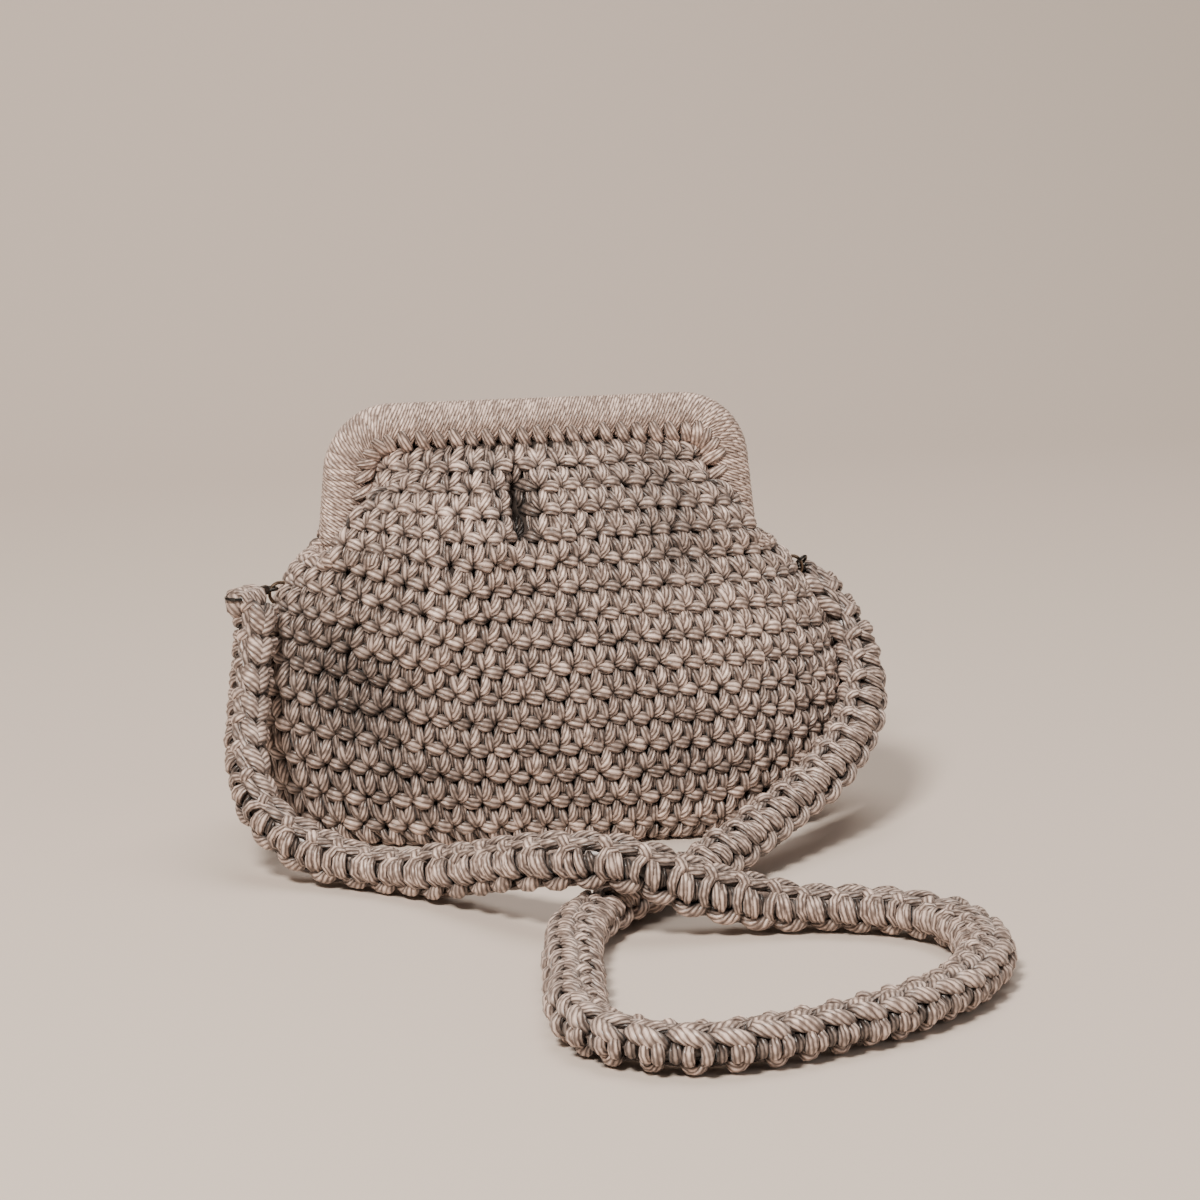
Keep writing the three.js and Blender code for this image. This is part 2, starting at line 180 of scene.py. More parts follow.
def strandPattern(tree):  # ridge is 0 in a groove and 1 on a strand's crown, lit is read by the colour ramp from painted groove shade to painted crest highlight
    look = cordLook
    nodes, links = tree.nodes, tree.links
    uv = nodes.new("ShaderNodeUVMap")
    uv.uv_map = "strands"
    parts = nodes.new("ShaderNodeSeparateXYZ")
    links.new(uv.outputs["UV"], parts.inputs["Vector"])
    share = maths(tree, "FRACT", parts.outputs["Y"])
    offCrown = maths(tree, "ABSOLUTE", maths(tree, "SUBTRACT", maths(tree, "MULTIPLY", share, 2.0), 1.0))
    ridge = maths(tree, "SUBTRACT", 1.0, offCrown)
    strand = maths(tree, "FLOOR", parts.outputs["Y"])

    streak = nodes.new("ShaderNodeCombineXYZ")  # each strand catches the light a little differently
    links.new(maths(tree, "MULTIPLY", parts.outputs["X"], look["streakAlong"]), streak.inputs["X"])
    links.new(maths(tree, "MULTIPLY", strand, look["streakAcross"]), streak.inputs["Y"])
    noise = nodes.new("ShaderNodeTexNoise")
    dial(noise, {"Scale": 1.0, "Detail": look["streakDetail"]})
    links.new(streak.outputs["Vector"], noise.inputs["Vector"])
    fibre = maths(tree, "MULTIPLY", noise.outputs["Fac"], look["fibreGain"])
    fibre = maths(tree, "ADD", fibre, look["fibreFrom"])

    split = nodes.new("ShaderNodeSeparateColor")  # some strands lie close together, some stand apart, with deeper painted shade in the groove between them
    links.new(noise.outputs["Color"], split.inputs["Color"])
    apart = maths(tree, "MULTIPLY", split.outputs["Green"], look["apartGain"])
    apart = maths(tree, "ADD", apart, look["apartFrom"])
    apart = maths(tree, "MINIMUM", maths(tree, "MAXIMUM", apart, look["apartLeast"]), 1.0)
    grooveShade = maths(tree, "SUBTRACT", 1.0, maths(tree, "POWER", ridge, look["grooveShadeShape"]))
    grooveShade = maths(tree, "MULTIPLY", grooveShade, apart)
    lit = maths(tree, "MULTIPLY", maths(tree, "SUBTRACT", 1.0, grooveShade), fibre)
    return ridge, lit


def cordMaterial(name, brightness, grooveShadeStrength):
    look = cordLook
    material, shader = newFinish(name)
    tree = material.node_tree
    nodes, links = tree.nodes, tree.links
    dial(shader, {"Roughness": look["roughness"], "Sheen Weight": look["sheen"],
                  "Sheen Roughness": look["sheenRoughness"]})
    ridge, lit = strandPattern(tree)

    ramp = nodes.new("ShaderNodeValToRGB")
    colors = ramp.color_ramp.elements
    pairs = zip(look["grooveShadeColor"], look["body"])
    colors[0].position = 0.0
    colors[0].color = [deep * grooveShadeStrength + body * (1 - grooveShadeStrength) for deep, body in pairs]
    colors[1].position = 1.0
    colors[1].color = look["crest"]
    colors.new(look["bodyAt"]).color = look["body"]
    links.new(lit, ramp.inputs["Fac"])

    tone = nodes.new("ShaderNodeAttribute")  # each lobe's own brightness at random, times painted shade where it is sunk and in folds
    tone.attribute_name = "tone"
    scale = maths(tree, "MULTIPLY", tone.outputs["Fac"], brightness)
    grey = nodes.new("ShaderNodeCombineColor")
    for channel in ("Red", "Green", "Blue"):
        links.new(scale, grey.inputs[channel])
    mix = nodes.new("ShaderNodeMix")
    mix.data_type = "RGBA"
    mix.blend_type = "MULTIPLY"
    mix.inputs[mixSocket["share"]].default_value = 1.0
    links.new(ramp.outputs["Color"], mix.inputs[mixSocket["first"]])
    links.new(grey.outputs["Color"], mix.inputs[mixSocket["second"]])
    links.new(mix.outputs[mixSocket["mixed"]], shader.inputs["Base Color"])

    bump = nodes.new("ShaderNodeBump")
    dial(bump, {"Strength": look["bump"], "Distance": look["bumpDepth"]})
    links.new(maths(tree, "POWER", ridge, look["bumpShape"]), bump.inputs["Height"])
    links.new(bump.outputs["Normal"], shader.inputs["Normal"])
    return material


# mottled finishes, for the metal and for the shell behind the stitches, the shell painted dark as the shade
# in their gaps

mottledSet = {"detail": 3.0, "darkUpTo": 0.35, "wornFrom": 0.65}
mottledLook = {  # dark and worn colours, roughness where smooth and where dull, grains to the metre
    "shadedCord": {"dark": (0.024, 0.016, 0.012, 1.0), "worn": (0.041, 0.028, 0.022, 1.0), "smooth": 0.84,
                   "dull": 0.96, "grain": 160.0, "metallic": 0.0},
    "bronzeWire": {"dark": (0.12, 0.083, 0.058, 1.0), "worn": (0.23, 0.165, 0.118, 1.0), "smooth": 0.22,
                   "dull": 0.46, "grain": 420.0, "metallic": 1.0},
    "blackNickel": {"dark": (0.042, 0.038, 0.035, 1.0), "worn": (0.082, 0.076, 0.069, 1.0), "smooth": 0.18,
                    "dull": 0.42, "grain": 420.0, "metallic": 1.0},
}


def mottledMaterial(name):
    look = mottledLook[name]
    material, shader = newFinish(name)
    nodes, links = material.node_tree.nodes, material.node_tree.links
    dial(shader, {"Metallic": look["metallic"]})
    place = nodes.new("ShaderNodeTexCoord")
    noise = nodes.new("ShaderNodeTexNoise")
    dial(noise, {"Scale": look["grain"], "Detail": mottledSet["detail"]})
    links.new(place.outputs["Object"], noise.inputs["Vector"])
    ramp = nodes.new("ShaderNodeValToRGB")
    colors = ramp.color_ramp.elements
    colors[0].position = mottledSet["darkUpTo"]
    colors[0].color = look["dark"]
    colors[1].position = mottledSet["wornFrom"]
    colors[1].color = look["worn"]
    links.new(noise.outputs["Fac"], ramp.inputs["Fac"])
    links.new(ramp.outputs["Color"], shader.inputs["Base Color"])
    rough = nodes.new("ShaderNodeMapRange")
    dial(rough, {"To Min": look["smooth"], "To Max": look["dull"]})
    links.new(noise.outputs["Fac"], rough.inputs["Value"])
    links.new(rough.outputs["Result"], shader.inputs["Roughness"])
    return material


# one cord in three copies, brightened or dimmed as painted light and shade: the frame's lighter and the
# strap's darker than the pouch's, the frame's grooves with less painted shade
pouchCord = cordMaterial("pouchCord", brightness=1.08, grooveShadeStrength=0.9)
frameCord = cordMaterial("frameCord", brightness=1.29, grooveShadeStrength=0.5)
strapCord = cordMaterial("strapCord", brightness=0.94, grooveShadeStrength=0.8)
shadedCord = mottledMaterial("shadedCord")
bronzeWire = mottledMaterial("bronzeWire")
blackNickel = mottledMaterial("blackNickel")
print("finishes: cord and metal")


# lobes: short tapered lengths of cord, laid from arrays and joined in one mesh

lobeSet = {
    "sides": 8, "startApart": 40.0,  # sides of a lobe, and how far apart in the streaks two lobes may start
    "dark": -0.8, "clear": 2.05, "fall": 1.35, "least": 0.1,  # heights in mm between which the painted crevice shade fades, then its curve and least tone
}
shortest = 1e-9  # guards a division by the length of a direction


def unit(vectors):
    return vectors / np.maximum(np.linalg.norm(vectors, axis=-1, keepdims=True), shortest)


def eased(share):  # a smooth step from 0 to 1
    share = np.clip(share, 0, 1)
    return share * share * (3 - 2 * share)


def reachAlong(line):  # how far each point lies along a line
    return np.concatenate([[0], np.cumsum(np.linalg.norm(np.diff(line, axis=0), axis=1))])


def placesAt(marks, reach, line):
    return np.stack([np.interp(marks, reach, line[:, axis]) for axis in range(line.shape[1])], -1)


def smoothed(line, times):  # inner points move towards their neighbours, the ends stay
    for step in range(times):
        line[1:-1] = 0.25 * line[:-2] + 0.5 * line[1:-1] + 0.25 * line[2:]
    return line


def lobeBatch(cord, centres, ups, size, tones, depth):
    # centres and ups are (lobe, ring, xyz) in mm, the cord's width and height are half sizes,
    # depth is how high a lobe's middle line lies over its surface, and sets its painted crevice shade
    count, rings = centres.shape[:2]
    widths, heights = cord["width"] * size, cord["height"] * size
    sides = cord.get("sides", lobeSet["sides"])
    along = unit(np.gradient(centres, axis=1))
    across = unit(np.cross(ups, along))
    raised = np.cross(along, across)
    turn = np.arange(sides) * 2 * math.pi / sides
    points = (
        centres[:, :, None, :]
        + across[:, :, None, :] * (widths[:, :, None] * np.cos(turn))[..., None]
        + raised[:, :, None, :] * (heights[:, :, None] * np.sin(turn))[..., None]
    )
    steps = np.linalg.norm(np.diff(centres, axis=1), axis=-1)
    reach = np.concatenate([np.zeros((count, 1)), np.cumsum(steps, axis=1)], axis=1)
    phase = rng.uniform(0, 1, count)
    columns = np.arange(sides + 1) / sides
    strandUv = cord["strands"] * columns + (cord["twist"] * reach)[:, :, None] + phase[:, None, None]
    alongUv = np.broadcast_to((reach + lobeSet["startApart"] * phase[:, None])[:, :, None], strandUv.shape)
    # painted crevice shade: the lower a point lies under the surface, the darker its tone
    level = np.broadcast_to(depth, (count, rings))[:, :, None] + heights[:, :, None] * np.sin(turn)
    clear = np.clip((level - lobeSet["dark"]) / (lobeSet["clear"] - lobeSet["dark"]), 0, 1)
    shade = lobeSet["least"] + (1 - lobeSet["least"]) * clear ** lobeSet["fall"]
    tones = np.broadcast_to(tones, count)[:, None, None] * shade
    return {"points": points, "uv": np.stack([alongUv, strandUv], -1), "tones": tones}


def newPiece(name, mesh, material):
    mesh.materials.append(material)
    piece = bpy.data.objects.new(name, mesh)
    bpy.context.collection.objects.link(piece)
    return piece


def lobeMesh(name, batches, material, floorAt=None):
    places, tones, corners, totals, uvs = [], [], [], [], []
    base = 0
    for batch in batches:
        points, uv = batch["points"], batch["uv"]
        count, rings, sides = points.shape[:3]
        index = base + np.arange(count * rings * sides).reshape(count, rings, sides)
        beside = np.roll(index, -1, axis=2)
        quads = np.stack([index[:, :-1], beside[:, :-1], beside[:, 1:], index[:, 1:]], -1).reshape(-1, 4)
        quadUv = np.stack([uv[:, :-1, :-1], uv[:, :-1, 1:], uv[:, 1:, 1:], uv[:, 1:, :-1]], -2)
        ends = np.concatenate([index[:, 0, ::-1], index[:, -1]])
        endUv = np.concatenate([uv[:, 0, :-1][:, ::-1], uv[:, -1, :-1]])
        places.append(points.reshape(-1, 3))
        tones.append(batch["tones"].ravel())
        corners += [quads.ravel(), ends.ravel()]
        totals += [np.full(len(quads), 4), np.full(len(ends), sides)]
        uvs += [quadUv.reshape(-1, 2), endUv.reshape(-1, 2)]
        base += count * rings * sides
    places = np.concatenate(places) * mm
    if floorAt is not None:
        places[:, 2] = np.maximum(places[:, 2], floorAt)
    corners, totals = np.concatenate(corners), np.concatenate(totals)
    starts = np.cumsum(totals) - totals
    mesh = bpy.data.meshes.new(name)
    mesh.vertices.add(len(places))
    mesh.vertices.foreach_set("co", places.ravel())
    mesh.loops.add(len(corners))
    mesh.loops.foreach_set("vertex_index", corners.astype(np.int32))
    mesh.polygons.add(len(starts))
    mesh.polygons.foreach_set("loop_start", starts.astype(np.int32))
    mesh.polygons.foreach_set("loop_total", totals.astype(np.int32))
    mesh.polygons.foreach_set("use_smooth", np.ones(len(starts), dtype=bool))
    mesh.uv_layers.new(name="strands").data.foreach_set("uv", np.concatenate(uvs).ravel())
    layer = mesh.attributes.new("tone", "FLOAT", "POINT")
    layer.data.foreach_set("value", np.concatenate(tones).astype(np.float32))
    mesh.update(calc_edges=True)
    mesh.validate()
    return newPiece(name, mesh, material)


def settle(piece, slotName, *nodes):
    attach(piece, "root")
    if nodes:
        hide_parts(*nodes)


# strap

strapSet = {
    "diameter": 0.0185, "motif": 12.4, "crest": 8.2,  # crest is the radius in mm that counts as the surface for the painted crevice shade
    # the core's tone is dimmed as painted shade for the gaps between the motifs
    "core": 6.8, "coreShort": 1.5, "coreSteps": 160, "coreShade": 0.6,
    "coreCord": {"strands": 6, "twist": 0.0},
    "flatTo": 0.7, "flatBelow": 10.0, "flatOver": 1.2,  # it is flatter where its centre line lies this low
    "slimTo": 0.8, "slimFrom": 0.08, "slimUntil": 0.13,  # the hanging end on the left is stretched thin
    "turnBy": -40.0, "turnFrom": 0.66, "turnTo": 0.76,  # degrees, between two shares of the length
    "taper": [0.5, 0.8, 0.97, 1.0, 0.97, 0.8, 0.5],
    "shifts": 0.045, "tilts": 6.0, "radii": (0.96, 1.04), "sizes": (0.92, 1.08), "tones": (0.9, 1.1),
    "perSpan": 24, "steps": 900, "pathEvery": 6,
    "route": [  # centre line from the left clip to the right one, in metres
        (-0.1196, -0.0076, 0.0973), (-0.1206, -0.011, 0.083), (-0.124, -0.0186, 0.0665),
        (-0.1266, -0.0262, 0.0553), (-0.13, -0.0434, 0.0382), (-0.1266, -0.0545, 0.0255),
        (-0.1149, -0.0653, 0.0143), (-0.1023, -0.0738, 0.0098), (-0.0737, -0.1004, 0.0098),
        (-0.0378, -0.1564, 0.0264), (-0.017, -0.168, 0.0263), (0.008, -0.173, 0.017),
        (0.035, -0.1765, 0.01), (0.0565, -0.1815, 0.0086), (0.076, -0.1915, 0.0086),
        (0.089, -0.207, 0.0086), (0.093, -0.228, 0.0086), (0.086, -0.2545, 0.0086),
        (0.067, -0.2805, 0.0086), (0.039, -0.3005, 0.0086), (0.007, -0.313, 0.0086),
        (-0.0215, -0.3195, 0.0086), (-0.0395, -0.319, 0.0086), (-0.055, -0.31, 0.0086),
        (-0.0643, -0.2943, 0.0086), (-0.0648, -0.276, 0.0086), (-0.057, -0.243, 0.0086),
        (-0.047, -0.205, 0.0086), (-0.036, -0.179, 0.0086), (-0.019, -0.1575, 0.0086),
        (0.029, -0.119, 0.0095), (0.0775, -0.078, 0.0205), (0.099, -0.06, 0.029),
        (0.1155, -0.041, 0.0385), (0.125, -0.023, 0.049), (0.1285, -0.0076, 0.06),
        (0.127, 0.0028, 0.07), (0.1184, 0.0139, 0.0845), (0.1146, 0.0184, 0.0892),
    ],
}


def smoothRoute(points, perSpan):  # one smooth curve through all the points
    places = np.array(points)
    padded = np.vstack([2 * places[0] - places[1], places, 2 * places[-1] - places[-2]])
    share = np.linspace(0, 1, perSpan, endpoint=False)[:, None]
    line = []
    for span in range(len(places) - 1):
        before, start, end, after = padded[span:span + 4]
        pairs = ((before, start), (start, end), (end, after))
        gaps = [math.sqrt(np.linalg.norm(far - near)) for near, far in pairs]
        leave = (start - before) / gaps[0] - (end - before) / (gaps[0] + gaps[1]) + (end - start) / gaps[1]
        reach = (end - start) / gaps[1] - (after - start) / (gaps[1] + gaps[2]) + (after - end) / gaps[2]
        leave, reach = leave * gaps[1], reach * gaps[1]
        line.append(start + leave * share + (3 * (end - start) - 2 * leave - reach) * share ** 2
                    + (2 * (start - end) + leave + reach) * share ** 3)
    line.append(places[-1:])
    return np.vstack(line)


def strapCentre():  # the route in even steps, and its length
    line = smoothRoute(strapSet["route"], strapSet["perSpan"])
    reach = reachAlong(line)
    return placesAt(np.linspace(0, reach[-1], strapSet["steps"]), reach, line), reach[-1]


strapLine, strapLength = strapCentre()
strapLineMm, strapLengthMm = strapLine / mm, strapLength / mm
strapReach = np.linspace(0, strapLengthMm, strapSet["steps"])
print("strap: route of %.3f m" % strapLength)


def strapFrames():
    along = unit(np.gradient(strapLineMm, axis=0))
    top = unit(np.array([0.0, 0.0, 1.0]) - along * along[:, 2:3])  # the strap lies with the same side up
    return top, np.cross(along, top)


strapTop, strapRight = strapFrames()

# one motif of the strap, worked round a core painted dark as shade: along in motifs, angle in degrees from
# the top towards the right hand, radius and half sizes in mm, twist in strands to the mm
strapChart = {
    "arch": {
        "along": [0.66, 0.44, 0.20, 0.06, 0.05, 0.17, 0.42],
        "angle": [40, 36, 43, 65, 90, 112, 127],
        "radius": [6.4, 7.9, 8.5, 8.8, 8.7, 8.1, 6.4],
        "width": 2.1, "height": 2.1, "strands": 7, "twist": 0.1,
    },
    "bellyLeft": {
        "along": [0.37, 0.34, 0.35, 0.38, 0.43, 0.50, 0.57],
        "angle": [46, 56, 70, 86, 102, 114, 124],
        "radius": [6.2, 7.9, 8.9, 9.2, 9.0, 8.0, 6.4],
        "width": 1.9, "height": 1.9, "strands": 6, "twist": 0.12,
    },
    "bellyRight": {
        "along": [0.52, 0.53, 0.56, 0.60, 0.65, 0.70, 0.74],
        "angle": [42, 53, 68, 84, 101, 115, 126],
        "radius": [6.2, 7.9, 8.8, 9.1, 8.9, 7.9, 6.2],
        "width": 1.9, "height": 1.9, "strands": 6, "twist": 0.12,
    },
    "bellyEdge": {
        "along": [0.72, 0.77, 0.81, 0.85, 0.88, 0.88, 0.87],
        "angle": [42, 56, 71, 86, 101, 113, 122],
        "radius": [5.0, 6.0, 6.5, 6.6, 6.5, 6.0, 5.0],
        "width": 1.7, "height": 1.8, "strands": 6, "twist": 0.12,
    },
    "drop": {
        "along": [0.36, 0.52, 0.70, 0.88, 1.05, 1.19, 1.29],
        "angle": [138, 142, 143, 140, 133, 125, 117],
        "radius": [6.0, 7.7, 8.6, 8.9, 8.6, 7.8, 6.4],
        "width": 3.0, "height": 2.4, "strands": 7, "twist": 0.32,
    },
    "ropeNear": {
        "along": [-0.14, 0.06, 0.28, 0.5, 0.72, 0.94, 1.14],
        "angle": [25, 28, 31, 31, 30, 27, 24],
        "radius": [6.6, 7.4, 7.9, 8.0, 7.9, 7.4, 6.6],
        "width": 2.2, "height": 1.9, "strands": 6, "twist": 0.2,
    },
    "ropeFar": {
        "along": [0.36, 0.56, 0.78, 1.0, 1.22, 1.44, 1.64],
        "angle": [7, 9, 12, 13, 12, 9, 7],
        "radius": [6.6, 7.4, 7.9, 8.0, 7.9, 7.4, 6.6],
        "width": 2.2, "height": 1.9, "strands": 6, "twist": 0.2,
    },
    "bobbleFar": {
        "along": [0.0, 0.04, 0.09, 0.14, 0.19, 0.23, 0.26],
        "angle": [4, 13, 23, 32, 40, 46, 52],
        "radius": [6.4, 8.3, 9.4, 9.7, 9.4, 8.3, 6.4],
        "width": 2.3, "height": 1.8, "strands": 6, "twist": 0.15,
    },
    "chevronTop": {
        "along": [1.12, 0.97, 0.79, 0.59, 0.39, 0.20, 0.04],
        "angle": [-32, -28, -21, -14, -8, -3, 1],
        "radius": [6.6, 8.0, 8.6, 8.7, 8.5, 7.8, 6.4],
        "width": 3.3, "height": 2.3, "strands": 7, "twist": 0.3,
    },
    "chevronSide": {
        "along": [1.12, 0.97, 0.79, 0.59, 0.39, 0.20, 0.04],
        "angle": [-34, -39, -46, -53, -59, -64, -68],
        "radius": [6.6, 8.0, 8.6, 8.7, 8.5, 7.8, 6.4],
        "width": 3.3, "height": 2.3, "strands": 7, "twist": -0.3,
    },
    "pillLeft": {
        "along": [0.30, 0.27, 0.25, 0.24, 0.25, 0.28, 0.33],
        "angle": [-66, -75, -86, -97, -108, -118, -127],
        "radius": [6.2, 7.7, 8.5, 8.7, 8.5, 7.7, 6.2],
        "width": 2.2, "height": 2.1, "strands": 7, "twist": 0.14,
    },
    "pillRight": {
        "along": [0.50, 0.53, 0.55, 0.55, 0.54, 0.51, 0.46],
        "angle": [-66, -75, -86, -97, -108, -118, -127],
        "radius": [6.2, 7.7, 8.5, 8.7, 8.5, 7.7, 6.2],
        "width": 2.2, "height": 2.1, "strands": 7, "twist": 0.14,
    },
    "pillGap": {
        "along": [0.88, 0.86, 0.85, 0.85, 0.86, 0.87, 0.89],
        "angle": [-62, -73, -85, -97, -109, -120, -130],
        "radius": [5.4, 6.4, 6.9, 7.0, 6.9, 6.4, 5.4],
        "width": 2.3, "height": 1.9, "strands": 7, "twist": 0.14,
    },
    "bobbleNear": {
        "along": [0.14, 0.23, 0.33, 0.43, 0.53, 0.62, 0.70],
        "angle": [-128, -135, -140, -142, -140, -135, -128],
        "radius": [6.4, 8.1, 9.2, 9.5, 9.2, 8.1, 6.4],
        "width": 2.5, "height": 1.9, "strands": 7, "twist": 0.25,
    },
    "under": {
        "along": [-0.12, 0.08, 0.28, 0.5, 0.72, 0.92, 1.12],
        "angle": [186, 190, 196, 200, 196, 190, 186],
        "radius": [6.0, 6.8, 7.2, 7.3, 7.2, 6.8, 6.0],
        "width": 2.7, "height": 1.9, "strands": 7, "twist": 0.08,
    },
    "underEdge": {
        "along": [0.38, 0.58, 0.78, 1.0, 1.22, 1.42, 1.62],
        "angle": [166, 166, 167, 168, 167, 166, 166],
        "radius": [6.0, 6.8, 7.2, 7.3, 7.2, 6.8, 6.0],
        "width": 2.5, "height": 1.9, "strands": 7, "twist": 0.08,
    },
}
endWraps = {  # each end is worked round the loop of its clip: mm along, across and above the clip's plane
    "clips": [
        {"hook": (-111.0, 5.6, 99.75), "out": (-0.722, -0.692, 0.0), "facing": (0.0, 0.0, 1.0)},
        {"hook": (108.6, 5.6, 99.75), "out": (0.301, 0.792, -0.531), "facing": (-0.5, 0.605, 0.619)},
    ],
    "along": [12.0, 15.4, 18.8, 22.0], "reach": [5.2, 5.6, 5.4, 4.6], "slant": 0.15,
    "across": [-0.9, -1.0, -0.78, 0.0, 0.78, 1.0, 0.9],
    "above": [-6.0, -1.0, 1.5, 2.2, 1.5, -1.0, -6.0],
    "taper": [0.7, 0.95, 1.0, 1.0, 1.0, 0.95, 0.7],
    # raised is the height over the loop that sets the lobes' painted crevice shade
    "width": 2.1, "height": 1.5, "strands": 6, "twist": 0.3, "raised": 0.6, "middleBelow": 3.0,
    "rises": 0.3, "sizes": (0.92, 1.08), "tones": (0.85, 1.05),
    "tongueAlong": [15.5, 19.0, 22.0, 24.2, 24.9, 24.4, 22.5],
    "tongueAbove": [1.6, 2.1, 1.8, 0.2, -2.2, -5.0, -7.5],
    "tongueWidth": 3.7, "tongueMiddleBelow": 6.0,
}


def onStrap(reach, angle, radius):
    lines = (strapLineMm, strapTop, strapRight)
    centre, top, right = (placesAt(reach, strapReach, line) for line in lines)
    outward = unit(top * np.cos(angle)[..., None] + right * np.sin(angle)[..., None])
    return centre + outward * radius[..., None], outward


def turned(reach):  # the strap turns part of the way over before it climbs to the right clip
    share = (reach / strapLengthMm - strapSet["turnFrom"]) / (strapSet["turnTo"] - strapSet["turnFrom"])
    return math.radians(strapSet["turnBy"]) * eased(share)


def flattened(reach, angle):  # shares of the full radius, flatter on the floor and slimmer at the left end
    s = strapSet
    height = np.interp(reach, strapReach, strapLineMm[:, 2])
    lying = np.clip((s["flatBelow"] - height) / s["flatOver"], 0, 1)
    slim = np.interp(reach / strapLengthMm, [s["slimFrom"], s["slimUntil"]], [s["slimTo"], 1.0])
    return slim * (1 - (1 - s["flatTo"]) * lying * np.cos(angle) ** 2)


def strapMotifs():
    s = strapSet
    count = int(round(strapLengthMm / s["motif"]))
    pitch = strapLengthMm / count
    batches = []
    for row in strapChart.values():
        reach = (np.arange(count)[:, None] + np.array(row["along"]) + loose(s["shifts"], count)) * pitch
        angle = np.radians(np.array(row["angle"]) + loose(s["tilts"], count)) + turned(reach)
        radius = np.array(row["radius"]) * uneven(s["radii"], count)
        flat = flattened(reach, angle)
        centres, outward = onStrap(reach, angle, radius * flat)
        size = np.array(s["taper"]) * uneven(s["sizes"], count)
        tone = uneven(s["tones"], count)[:, 0]
        depth = np.array(row["radius"]) - s["crest"]
        cord = dict(row, height=row["height"] * np.sqrt(flat))
        batches.append(lobeBatch(cord, centres, outward, size, tone, depth))
    return batches


def strapCore():
    s = strapSet
    reach = np.linspace(s["coreShort"], strapLengthMm - s["coreShort"], s["coreSteps"])[None, :]
    still = np.zeros_like(reach)
    centres, outward = onStrap(reach, still, still)
    wide, thick = flattened(reach, still + math.pi / 2), flattened(reach, still)
    cord = dict(s["coreCord"], width=wide, height=thick)
    return lobeBatch(cord, centres, outward, s["core"], s["coreShade"], 0.0)


def wrappedEnd(clip):
    w = endWraps
    hook, out, facing = (np.array(clip[key]) for key in ("hook", "out", "facing"))
    aside = unit(np.cross(facing, out))
    count = len(w["along"])
    across = np.array(w["reach"])[:, None] * np.array(w["across"])
    above = (np.array(w["above"]) + loose(w["rises"], count))[..., None]
    along = (w["slant"] * across + np.array(w["along"])[:, None])[..., None]
    across = across[..., None]
    centres = hook + along * out + across * aside + above * facing
    lift = unit(across * aside + (above + w["middleBelow"]) * facing)
    size = np.array(w["taper"]) * uneven(w["sizes"], count)
    tone = uneven(w["tones"], count)[:, 0]
    return lobeBatch(w, centres, lift, size, tone, w["raised"])


def tongueOver(clip):  # one broad lobe closes the wrapped end over the loop
    w = endWraps
    hook, out, facing = (np.array(clip[key]) for key in ("hook", "out", "facing"))
    along = np.array(w["tongueAlong"])[None, :, None]
    above = np.array(w["tongueAbove"])[None, :, None]
    centres = hook + along * out + above * facing
    lift = unit((along - w["tongueAlong"][0]) * out + (above + w["tongueMiddleBelow"]) * facing)
    cord = dict(w, width=w["tongueWidth"])
    return lobeBatch(cord, centres, lift, np.array(w["taper"])[None, :], 1.0, w["raised"])


def makeStrap():
    batches = strapMotifs() + [strapCore()]
    for clip in endWraps["clips"]:
        batches += [wrappedEnd(clip), tongueOver(clip)]
    strap = lobeMesh("strapCrochet", batches, strapCord, floorAt=justAboveFloor)
    settle(strap, "strap_cord", "strap")


makeStrap()
print("strap: crochet laid along its route")


# pouch surface, repeated from the solid: level curves, folds and lean, in mm

pouchSet = {
    "lean": 5.0, "baseForward": 2.9, "backing": 3.8, "wall": 6.0, "wingFrom": 13.9, "wingTo": 17.5,
    "levels": [  # z, half width, front, back, square, turn, sink, shift, wing
        (0, 97, 34, 33, 2.7, -9, 0, 0, 0), (5, 107, 40.5, 38.5, 2.6, -9, 0, 0, 0),
        (17, 112, 43, 41, 2.5, -8, 0, 0, 0), (36, 117, 46, 44, 2.4, -6.5, 0, 0, 0),
        (56, 118, 46, 45, 2.4, -5, 0, 0, 0), (75, 115, 43.5, 43, 2.4, -3, 0, 0, 0),
        (92, 108, 39.5, 39, 2.5, -1.5, 0, -0.8, 0), (104, 101, 36, 35, 2.6, -0.5, 2, -1.8, 0),
        (110.5, 95.5, 34.2, 32.8, 2.8, 0, 5.5, -2.3, 0), (113, 72.2, 33.3, 31.4, 3.6, 0, 6, -2.7, 20),
        (128, 70.6, 26.5, 24, 3.6, 0, 0, -2.7, 15), (141, 69, 19.5, 18, 3.4, 0, 0, -2.7, 8),
        (148.5, 67, 15, 14.4, 3.2, 0, 0, -2.7, 0), (153.4, 61, 12.5, 12, 3, 0, 0, -2.7, 0),
    ],
    "frontFolds": [  # x and z where it starts, x and z where it ends, rise, spread
        (-12.5, 139, -13, 122, -8, 4.6), (-25, 141, -27, 118, 4.5, 7.5), (-2, 138, 0, 116, 3.5, 8),
        (-28, 118, -57, 80, 4, 11), (-92, 74, -80, 60, -4.5, 15), (46, 140, 50, 112, -3.5, 12),
        (70, 78, 82, 52, 2.5, 20),
    ],
    "backFolds": [(18, 143, 22, 118, -5, 6), (30, 114, 56, 80, 3, 12), (-30, 84, 10, 72, -2.5, 22)],
    "finer": 4, "gridColumns": 480, "rowsPerLevel": 40, "smoothings": 80,
    "shellPlaces": 120, "shellFloor": 0.4,
}
levels = np.array(pouchSet["levels"], dtype=float)
levelNumbers = np.arange(len(levels))
levelHeights, levelTurns, levelSinks, levelShifts = levels[:, 0], levels[:, 5], levels[:, 6], levels[:, 7]
lastLevel = len(levels) - 1
leanSlope = math.tan(math.radians(pouchSet["lean"]))


